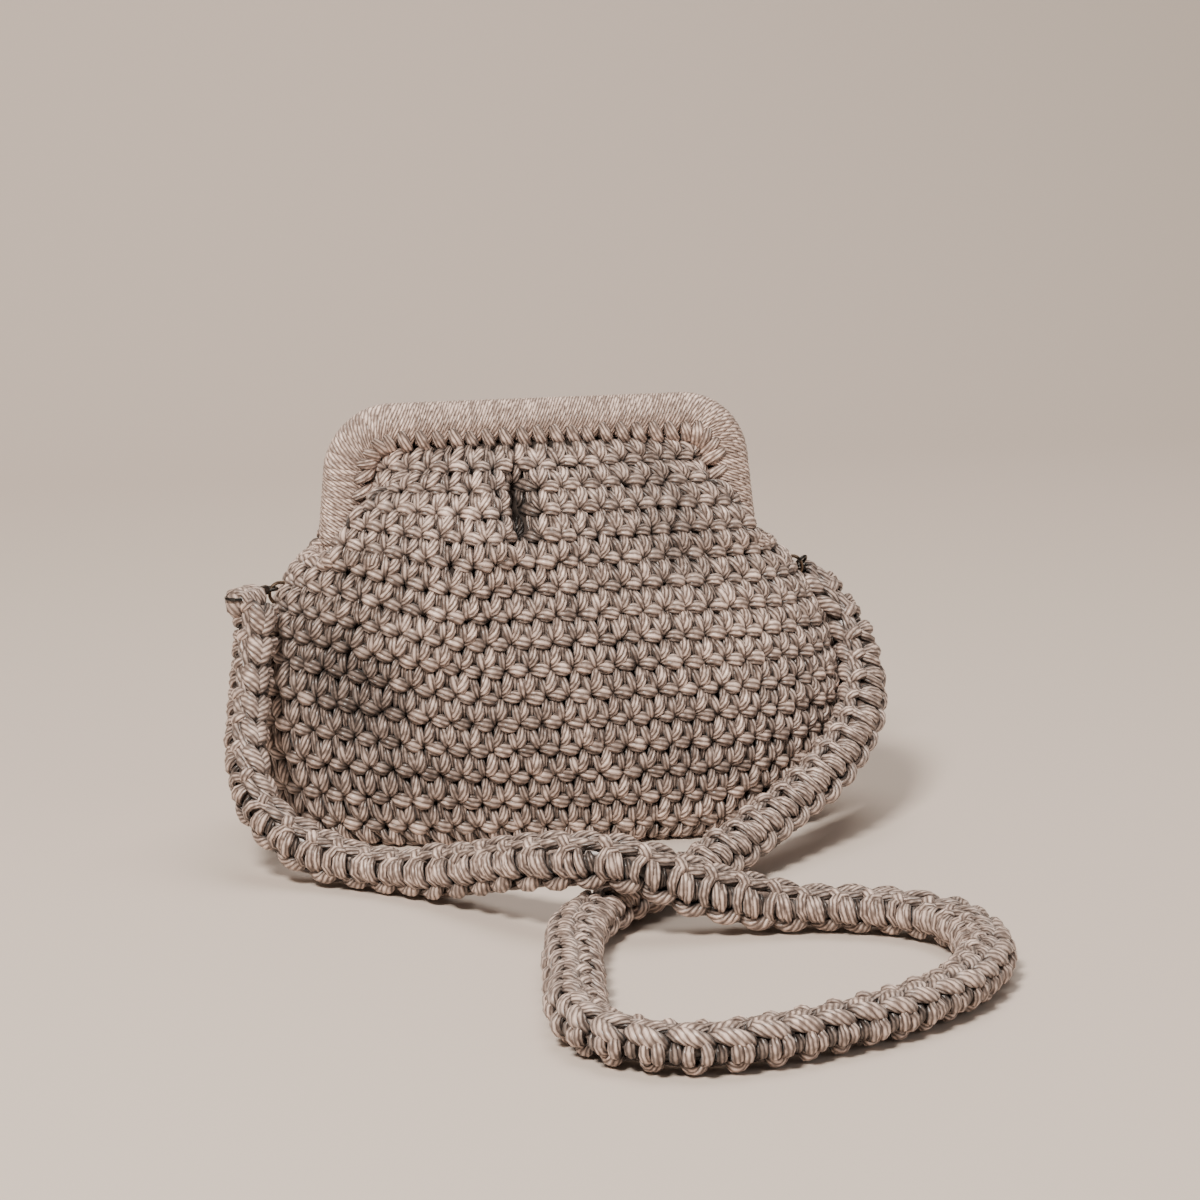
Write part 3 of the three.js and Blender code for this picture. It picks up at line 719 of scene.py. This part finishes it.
def foldRise(folds, x, z):
    rise = np.zeros_like(x)
    for startX, startZ, endX, endZ, height, spread in folds:
        runX, runZ = endX - startX, endZ - startZ
        share = np.clip(((x - startX) * runX + (z - startZ) * runZ) / (runX * runX + runZ * runZ), 0, 1)
        away = np.hypot(x - startX - share * runX, z - startZ - share * runZ)
        rise += height * np.exp(-(away / spread) ** 2)
    return rise


def levelAt(mark):  # mark counts levels from the base, with shares between
    return placesAt(mark, levelNumbers, levels)


def pouchRing(level, inset, z, count, winged=True):
    levelZ, halfWidth, front, back, square, turn, _, shift, wing = level
    wing = wing if winged else 0.0
    breadth = halfWidth + wing - inset
    angle = np.linspace(0, 2 * math.pi, pouchSet["finer"] * count + 1)
    cos, sin = np.cos(angle), np.sin(angle)
    x = breadth * np.sign(cos) * abs(cos) ** (2 / square)
    y = (np.where(sin < 0, front, back) - inset) * np.sign(sin) * abs(sin) ** (2 / square)
    curve = np.stack([x, y], 1)
    reach = reachAlong(curve)
    x, y = placesAt(np.arange(count) * reach[-1] / count, reach, curve).T
    free = eased((abs(y) - pouchSet["wingFrom"] - inset) / (pouchSet["wingTo"] - pouchSet["wingFrom"]))
    x = x * (1 - (1 - free) * wing / breadth)  # between its wings the curve keeps its half width
    facing = np.minimum(1, abs(y) / front)
    frontRise = foldRise(pouchSet["frontFolds"], x, levelZ)
    backRise = foldRise(pouchSet["backFolds"], x, levelZ)
    y = y + np.where(y < 0, frontRise, backRise) * facing * np.sign(y)
    twist = math.radians(turn)
    x, y = x * math.cos(twist) - y * math.sin(twist), x * math.sin(twist) + y * math.cos(twist)
    tip = y * leanSlope * z / levelHeights[-1]
    return np.stack([x + shift, y + z * leanSlope - pouchSet["baseForward"], z - tip], 1)


gridColumns = pouchSet["gridColumns"]
gridMarks = np.linspace(0, lastLevel, pouchSet["rowsPerLevel"] * lastLevel + 1)
pouchGrid = np.array([pouchRing(levelAt(mark), 0.0, levelAt(mark)[0], gridColumns) for mark in gridMarks])
pouchGrid = smoothed(pouchGrid, pouchSet["smoothings"])  # corners between level curves are rounded off
gridRight = unit(np.roll(pouchGrid, -1, axis=1) - np.roll(pouchGrid, 1, axis=1))
gridUp = unit(np.gradient(pouchGrid, axis=0))
gridNormal = unit(np.cross(gridRight, gridUp))
ringLengths = np.linalg.norm(np.roll(pouchGrid, -1, axis=1) - pouchGrid, axis=2).sum(1)


def onPouch(around, mark, depth):  # around is a share of the whole way round
    column = np.mod(around, 1.0) * gridColumns
    row = np.clip(mark, 0, lastLevel) / lastLevel * (len(gridMarks) - 1)
    left = np.floor(column).astype(int) % gridColumns
    right = (left + 1) % gridColumns
    below = np.minimum(row.astype(int), len(gridMarks) - 2)
    aside, above = (column - np.floor(column))[..., None], (row - below)[..., None]

    def sample(grid):
        low = grid[below, left] * (1 - aside) + grid[below, right] * aside
        high = grid[below + 1, left] * (1 - aside) + grid[below + 1, right] * aside
        return low * (1 - above) + high * above

    normal = unit(sample(gridNormal))
    return sample(pouchGrid) + normal * depth[..., None], normal


# crochet rows: each stitch is two leaves rising from a hole and a bar to the next hole

stitchSet = {
    "rowHeight": 10.2, "width": 8.9, "lean": 0.17, "frontCentre": 0.75,
    "liftFrom": -36.0, "liftSlope": 0.21, "liftEase": 8.0, "liftFullAt": 58.0,
    "liftFadeFrom": 108.0, "liftFadeTo": 152.0,
    "tilts": 0.16, "shifts": 0.04, "climbs": 0.05, "depths": 0.5, "sizes": (0.9, 1.1), "tones": (0.84, 1.12),
    # foldShade scales a painted shade, dark in the front's folds and light on their ridges, within the
    # limits that follow; leftShade is a broad painted shade on the left, laid out like a fold, with no
    # relief
    "foldShade": 0.115, "foldShadeLimits": (0.42, 1.12), "leftShade": (-88.0, 95.0, -74.0, 35.0, -1.5, 34.0),
}
stitchChart = {  # across in stitches, up in rows, depth in mm, then half sizes as shares of the stitch width
    "leafRight": {
        "across": [0.04, 0.13, 0.20, 0.225, 0.21, 0.18, 0.16],
        "up": [0.03, 0.17, 0.33, 0.49, 0.65, 0.81, 0.97],
        "depth": [-3.8, -1.6, -0.3, 0.1, -0.2, -1.2, -3.0],
        "taper": [0.5, 0.85, 1.05, 1.06, 1.0, 0.85, 0.5],
        "width": 0.235, "height": 0.245, "strands": 7, "twist": -0.34,
    },
    "leafLeft": {
        "across": [0.0, -0.06, -0.115, -0.155, -0.19, -0.22, -0.245],
        "up": [0.02, 0.14, 0.28, 0.42, 0.56, 0.69, 0.81],
        "depth": [-3.8, -2.0, -0.8, -0.4, -0.7, -1.6, -3.1],
        "taper": [0.5, 0.84, 1.02, 1.08, 1.02, 0.85, 0.55],
        "width": 0.2, "height": 0.23, "strands": 6, "twist": 0.06,
    },
    "bar": {
        "across": [0.13, 0.19, 0.33, 0.50, 0.66, 0.80, 0.86],
        "up": [0.03, 0.05, 0.06, 0.05, 0.035, 0.02, 0.01],
        "depth": [-3.4, -1.9, -0.7, -0.3, -0.7, -1.8, -3.4],
        "taper": [0.45, 0.78, 1.0, 1.08, 1.04, 0.88, 0.5],
        "width": 0.325, "height": 0.245, "strands": 8, "twist": -0.12,
    },
}
sunkStitch = {  # the far leg of a stitch, seen in the gap between its neighbours
    "across": 0.55, "depth": -1.9, "shadeDepth": -0.7,  # it is shaded as if it lay less deep
    "up": [0.22, 0.42, 0.62, 0.82, 1.0], "taper": [0.6, 0.9, 1.05, 1.05, 0.8],
    "width": 0.21, "height": 0.19, "strands": 8, "twist": 0.05, "sides": 6,
}
pleatHole = {"x": -13.2, "low": 122.5, "high": 131.0, "spread": 3.6, "sink": 2.7}  # mm
shoulderSet = {
    "middles": (0.0, 0.5), "fromMark": 7.95, "markStep": 0.38, "rows": 3, "stitches": 5, "raised": 0.6,
    "shifts": 0.05, "climbs": 0.06, "depths": 0.4, "sizes": (0.9, 1.1), "tones": (0.84, 1.08),
}


def rowHeights():  # heights of the rows, evenly spaced up the middle of the front
    reach = reachAlong(pouchGrid[:, int(stitchSet["frontCentre"] * gridColumns)])
    count = int(round(reach[-1] / stitchSet["rowHeight"]))
    marks = np.interp(np.linspace(0, reach[-1], count + 1), reach, gridMarks)
    return np.interp(marks, levelNumbers, levelHeights)


def rowLift(x, z):  # rows of the left side climb away from the fold that falls from the pleat
    s = stitchSet
    away = np.maximum(0.0, s["liftFrom"] - x)
    fade = np.clip((s["liftFadeTo"] - z) / (s["liftFadeTo"] - s["liftFadeFrom"]), 0, 1)
    return s["liftSlope"] * away * away / (away + s["liftEase"]) * np.clip(z / s["liftFullAt"], 0, 1) * fade


def laidOnRow(rowNumber, heights, hole, across, up, depth):  # places of lobes, by row and stitch
    around = hole[:, None] + across / len(hole)
    height = np.interp(rowNumber + up, np.arange(len(heights)), heights)
    level = np.interp(height, levelHeights, levelNumbers)
    x = onPouch(around, level, np.zeros_like(level))[0][..., 0]
    mark = np.interp(height + rowLift(x, height), levelHeights, levelNumbers)
    return onPouch(around, mark, depth)


def sideways(places):  # x as the level curves count it, before they are turned and shifted
    turn = np.radians(np.interp(places[..., 2], levelHeights, levelTurns))
    shift = np.interp(places[..., 2], levelHeights, levelShifts)
    forward = places[..., 1] - places[..., 2] * leanSlope + pouchSet["baseForward"]
    return (places[..., 0] - shift) * np.cos(turn) + forward * np.sin(turn)


def foldShaded(batch):  # painted shade on the front: darker in its folds and lighter on its ridges, and darker over a broad patch on the left
    folds = pouchSet["frontFolds"] + [stitchSet["leftShade"]]
    rise = foldRise(folds, sideways(batch["points"]), batch["points"][..., 2])
    batch["tones"] = batch["tones"] * np.clip(1 + stitchSet["foldShade"] * rise, *stitchSet["foldShadeLimits"])
    return batch


def pleatSink(places):  # the pleat opens into a small hole at its lower end; the stitches sunk there also get deeper painted shade
    aside = sideways(places) - pleatHole["x"]
    beyond = places[..., 2] - np.clip(places[..., 2], pleatHole["low"], pleatHole["high"])
    return pleatHole["sink"] * np.exp(-(aside ** 2 + beyond ** 2) / pleatHole["spread"] ** 2)


def stitchLobes(stitch, rowNumber, heights, hole, pitch):  # one lobe of each stitch, front then back
    s = stitchSet
    count = len(hole)
    isFront = np.mod(hole, 1.0) > 0.5
    tilt = loose(s["tilts"], count) * (np.array(stitch["up"]) - 0.5)
    across = np.array(stitch["across"]) + tilt + loose(s["shifts"], count)
    up = np.array(stitch["up"]) + loose(s["climbs"], count)
    depth = np.array(stitch["depth"]) + loose(s["depths"], count)
    centres, normal = laidOnRow(rowNumber, heights, hole, across, up, depth)
    sink = pleatSink(centres) * isFront[:, None]
    centres, depth = centres - normal * sink[..., None], depth - sink
    size = np.array(stitch["taper"]) * uneven(s["sizes"], count) * pitch
    tone = uneven(s["tones"], count)[:, 0]
    return [lobeBatch(stitch, centres[side], normal[side], size[side], tone[side], depth[side])
            for side in (isFront, ~isFront)]


def sunkLobes(rowNumber, heights, hole, pitch):
    leg = sunkStitch
    up = np.tile(leg["up"], (len(hole), 1))
    across, depth = np.full_like(up, leg["across"]), np.full_like(up, leg["depth"])
    centres, normal = laidOnRow(rowNumber, heights, hole, across, up, depth)
    size = np.array(leg["taper"]) * uneven(stitchSet["sizes"], len(hole)) * pitch
    return lobeBatch(leg, centres, normal, size, 1.0, leg["shadeDepth"])


def stitchRows():
    heights = rowHeights()
    front, back, sunk = [], [], []
    for rowNumber in range(len(heights) - 1):
        mark = np.interp(heights[rowNumber], levelHeights, levelNumbers)
        around = np.interp(mark, gridMarks, ringLengths)
        count = int(round(around / stitchSet["width"]))
        pitch = around / count
        hole = stitchSet["frontCentre"] + (np.arange(count) + stitchSet["lean"] * rowNumber) / count
        for stitch in stitchChart.values():
            frontLobes, backLobes = stitchLobes(stitch, rowNumber, heights, hole, pitch)
            front.append(foldShaded(frontLobes))
            back.append(backLobes)
        sunk.append(sunkLobes(rowNumber, heights, hole, pitch))
    return front, back, sunk


def shoulderRows():  # short rows on the ledges beside the feet of the frame
    s = shoulderSet
    count = s["stitches"]
    batches = []
    for middle in s["middles"]:
        for rowNumber in range(s["rows"]):
            mark = s["fromMark"] + rowNumber * s["markStep"]
            share = stitchSet["width"] / np.interp(mark, gridMarks, ringLengths)
            hole = middle + (np.arange(count) - count / 2 + stitchSet["lean"] * rowNumber) * share
            for stitch in stitchChart.values():
                across = np.array(stitch["across"]) + loose(s["shifts"], count)
                up = np.array(stitch["up"]) + loose(s["climbs"], count)
                depth = np.array(stitch["depth"]) + s["raised"] + loose(s["depths"], count)
                centres, normal = onPouch(hole[:, None] + across * share, mark + up * s["markStep"], depth)
                size = np.array(stitch["taper"]) * uneven(s["sizes"], count) * stitchSet["width"]
                tone = uneven(s["tones"], count)[:, 0]
                batches.append(lobeBatch(stitch, centres, normal, size, tone, depth))
    return batches


def ringShell(name, rings, material):  # rings joined by quads, closed to a point at both ends
    count = len(rings[0])
    places = np.concatenate(rings + [rings[0].mean(0)[None], rings[-1].mean(0)[None]]) * mm
    bottom, top = len(rings) * count, len(rings) * count + 1
    last = (len(rings) - 1) * count
    faces = []
    for low in range(0, last, count):
        for here in range(count):
            beside = (here + 1) % count
            faces.append((low + here, low + beside, low + count + beside, low + count + here))
    for here in range(count):
        beside = (here + 1) % count
        faces.append((bottom, beside, here))
        faces.append((top, last + here, last + beside))
    mesh = bpy.data.meshes.new(name)
    mesh.from_pydata([tuple(place) for place in places], [], faces)
    mesh.polygons.foreach_set("use_smooth", np.ones(len(faces), dtype=bool))
    mesh.update()
    return newPiece(name, mesh, material)


def shellRings():  # up the outside from the base, then down the inside from the mouth
    backing, wall, count = pouchSet["backing"], pouchSet["wall"], pouchSet["shellPlaces"]
    rings = []
    for mark in np.linspace(0, lastLevel, 2 * lastLevel + 1):
        level = levelAt(mark)
        rings.append(pouchRing(level, backing, max(level[0], pouchSet["shellFloor"]), count))
    for mark in range(lastLevel, 1, -1):
        height = levelHeights[mark] - levelSinks[mark]
        rings.append(pouchRing(levels[mark], wall, height, count, winged=False))
    rings.append(pouchRing(levels[0], wall, wall, count))
    return rings


def makePouch():
    front, back, sunk = stitchRows()
    stitches = [
        lobeMesh("pouchFrontStitches", front, pouchCord, floorAt=justAboveFloor),
        lobeMesh("pouchBackStitches", back, pouchCord, floorAt=justAboveFloor),
        lobeMesh("pouchSunkStitches", sunk, pouchCord, floorAt=justAboveFloor),
        lobeMesh("pouchShoulderStitches", shoulderRows(), pouchCord),
    ]
    shell = ringShell("pouchInside", shellRings(), shadedCord)
    settle(shell, "pouch_cord", "pouch")
    for piece in stitches:
        settle(piece, "pouch_cord")


makePouch()
print("pouch: shell and stitches")


# frame: cord wrapped round each roll, gathered in threes along its inner edge and hooked to the first row

frameSet = {
    "footZ": 114.0, "footX": 81.7, "topX": 78.7, "barZ": 162.4, "cornerRadius": 19.0, "shift": -2.7,
    "depth": 13.0, "gap": 0.5, "hookPitch": 6.8, "perHook": 3,
    "cornerSteps": 40, "markStep": 0.5, "smoothings": 12,
    "endFrom": 6.0, "endReach": 7.0, "endLeast": 0.05,  # a roll rounds off over its last few mm
    "rolls": [
        {"name": "frameFrontWraps", "node": "frame_front", "side": -1, "width": 17.0, "inset": 0.0},
        {"name": "frameBackWraps", "node": "frame_back", "side": 1, "width": 14.6, "inset": 1.2},
    ],
}
wrapSet = {  # one turn of cord round a roll
    "steps": 27, "thickness": 0.85, "overlap": 0.68, "gather": 0.45, "strands": 6, "twist": 0.4,
    # raised is the height over the roll that sets the wraps' painted crevice shade
    "raised": 1.0,
    "pullFrom": 1.75, "pullOver": 1.2, "pullFall": 1.4,  # where it gathers, in radians from outside
    "pullRise": 0.35, "pullSlim": 0.1, "pullThick": 0.8,
    "shifts": 0.1, "heights": (0.95, 1.05), "tones": (0.94, 1.06),
}
hookChart = {  # along the roll in mm, angle from its outer edge, depth below its surface, then the taper
    "along": [-2.8, -2.2, -1.3, -0.3, 0.8, 1.8, 2.5], "angle": [104, 118, 133, 148, 163, 178, 190],
    "below": [2.2, 0.6, -0.5, -1.1, -1.5, -2.0, -1.6], "taper": [0.45, 0.8, 0.97, 1.0, 1.0, 0.92, 0.65],
    "width": 2.45, "height": 2.0, "strands": 8, "twist": 0.16,
    "shifts": 0.5, "tilts": 4.0, "depths": 0.2, "sizes": (0.92, 1.08), "tones": (0.9, 1.08),
}
rollCoreSet = {
    # tone dims the roll's core as painted shade for the gaps between the wraps
    "short": 1.0, "steps": 60, "below": 3.0, "inside": 2.0, "tone": 0.5,
    "strands": 6, "twist": 0.0, "sides": 12,
}


def rollLine(inset):  # centre line of a roll from its left foot to its right one, x and height in its plane
    s = frameSet
    cornerX = s["topX"] - inset - s["cornerRadius"]
    cornerHeight = s["barZ"] - s["footZ"] - inset - s["cornerRadius"]
    turn = np.linspace(math.pi, math.pi / 2, s["cornerSteps"])
    left = np.array([-cornerX, cornerHeight]) + s["cornerRadius"] * np.stack([np.cos(turn), np.sin(turn)], 1)
    foot = np.array([[inset - s["footX"], 0.0]])
    mirror = np.array([-1, 1])
    line = np.vstack([foot, left, left[::-1] * mirror, foot * mirror])
    reach = reachAlong(line)
    marks = np.arange(0, reach[-1], s["markStep"])
    return smoothed(placesAt(marks, reach, line), s["smoothings"]), marks


def rollPlace(roll, reach, angle, below):
    s = frameSet
    line, marks = roll["line"], roll["marks"]
    lean = math.radians(pouchSet["lean"])
    sideAxis = np.array([1.0, 0.0, 0.0])
    depthAxis = np.array([0.0, math.cos(lean), -math.sin(lean)])
    upAxis = np.array([0.0, math.sin(lean), math.cos(lean)])
    foot = np.array([s["shift"], s["footZ"] * leanSlope - pouchSet["baseForward"], s["footZ"]])
    offset = roll["side"] * (s["depth"] + s["gap"]) / 2
    spot = placesAt(reach, marks, line)
    slope = placesAt(reach, marks, unit(np.gradient(line, axis=0)))
    outward = unit(slope[..., :1] * upAxis - slope[..., 1:] * sideAxis)
    centre = foot + depthAxis * offset + spot[..., 1:] * upAxis + spot[..., :1] * sideAxis
    ends = np.minimum(reach - marks[0], marks[-1] - reach)
    short = (s["endFrom"] - np.minimum(ends, s["endFrom"])) / s["endReach"]
    draw = np.sqrt(np.clip(1 - short ** 2, s["endLeast"], 1))
    width, depth = (roll["width"] / 2 - below) * draw, (s["depth"] / 2 - below) * draw
    cos, sin = np.cos(angle), np.sin(angle)
    place = centre + outward * (width * cos)[..., None] - depthAxis * (depth * sin)[..., None]
    normal = unit(outward * (depth * cos)[..., None] - depthAxis * (width * sin)[..., None])
    return place, normal


def rollWraps(roll):
    w = wrapSet
    total = roll["marks"][-1]
    count = frameSet["perHook"] * int(round(total / frameSet["hookPitch"]))
    pitch = total / count
    number = np.arange(count)[:, None]
    angle = np.linspace(-math.pi, math.pi, w["steps"])[None, :] * -roll["side"]
    pull = np.clip((abs(angle) - w["pullFrom"]) / w["pullOver"], 0, 1)  # full at the inner edge
    pull = pull ** w["pullFall"]
    inward = 1 - number % frameSet["perHook"]  # the turns beside the middle one lean towards it
    reach = (number + 0.5) * pitch + inward * pull * w["gather"] + loose(w["shifts"], count)
    angles = np.broadcast_to(angle, reach.shape)
    below = w["thickness"] * (1 - w["pullRise"] * pull * (inward == 0))
    centres, normal = rollPlace(roll, reach, angles, below)
    ahead = rollPlace(roll, np.minimum(reach + pitch / 2, total), angles, below)[0]
    behind = rollPlace(roll, np.maximum(reach - pitch / 2, 0), angles, below)[0]
    width = np.linalg.norm(ahead - behind, axis=2) * (w["overlap"] - w["pullSlim"] * pull)
    height = w["thickness"] * (1 + w["pullThick"] * pull) * uneven(w["heights"], count)
    tone = uneven(w["tones"], count)[:, 0]
    cord = dict(w, width=width, height=height, twist=w["twist"] * roll["side"])
    return lobeBatch(cord, centres, normal, 1.0, tone, w["raised"])


def rollHooks(roll):
    h = hookChart
    total = roll["marks"][-1]
    count = int(round(total / frameSet["hookPitch"]))
    reach = (np.arange(count)[:, None] + 0.5) * total / count + np.array(h["along"])
    reach = np.clip(reach + loose(h["shifts"], count), 0, total)
    angle = np.radians(np.array(h["angle"]) + loose(h["tilts"], count)) * -roll["side"]
    below = np.array(h["below"]) + loose(h["depths"], count)
    centres, normal = rollPlace(roll, reach, angle, below)
    size = np.array(h["taper"]) * uneven(h["sizes"], count)
    tone = uneven(h["tones"], count)[:, 0]
    return lobeBatch(h, centres, normal, size, tone, -below)


def rollCore(roll):
    c = rollCoreSet
    reach = np.linspace(c["short"], roll["marks"][-1] - c["short"], c["steps"])[None, :]
    still = np.zeros_like(reach)
    outer = rollPlace(roll, reach, still, c["below"])[0]
    inner = rollPlace(roll, reach, still + math.pi, c["below"])[0]
    cord = dict(c, width=frameSet["depth"] / 2 - c["inside"], height=roll["width"] / 2 - c["inside"])
    return lobeBatch(cord, (outer + inner) / 2, unit(outer - inner), np.ones_like(reach), c["tone"], 0.0)


def makeFrames():
    for row in frameSet["rolls"]:
        line, marks = rollLine(row["inset"])
        roll = dict(row, line=line, marks=marks)
        piece = lobeMesh(row["name"], [rollWraps(roll), rollHooks(roll), rollCore(roll)], frameCord)
        settle(piece, "frame_cord", row["node"])


makeFrames()
print("frame: wrapped rolls")


# wire rings and clips keep their solids, with a metal finish

metalFinish = {
    "ring_left": bronzeWire, "ring_right": bronzeWire,
    "clip_left": blackNickel, "clip_right": blackNickel,
}
for nodeName, finish in metalFinish.items():
    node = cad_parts[nodeName]
    node.data.materials.clear()
    node.data.materials.append(finish)
print("metal: rings and clips")
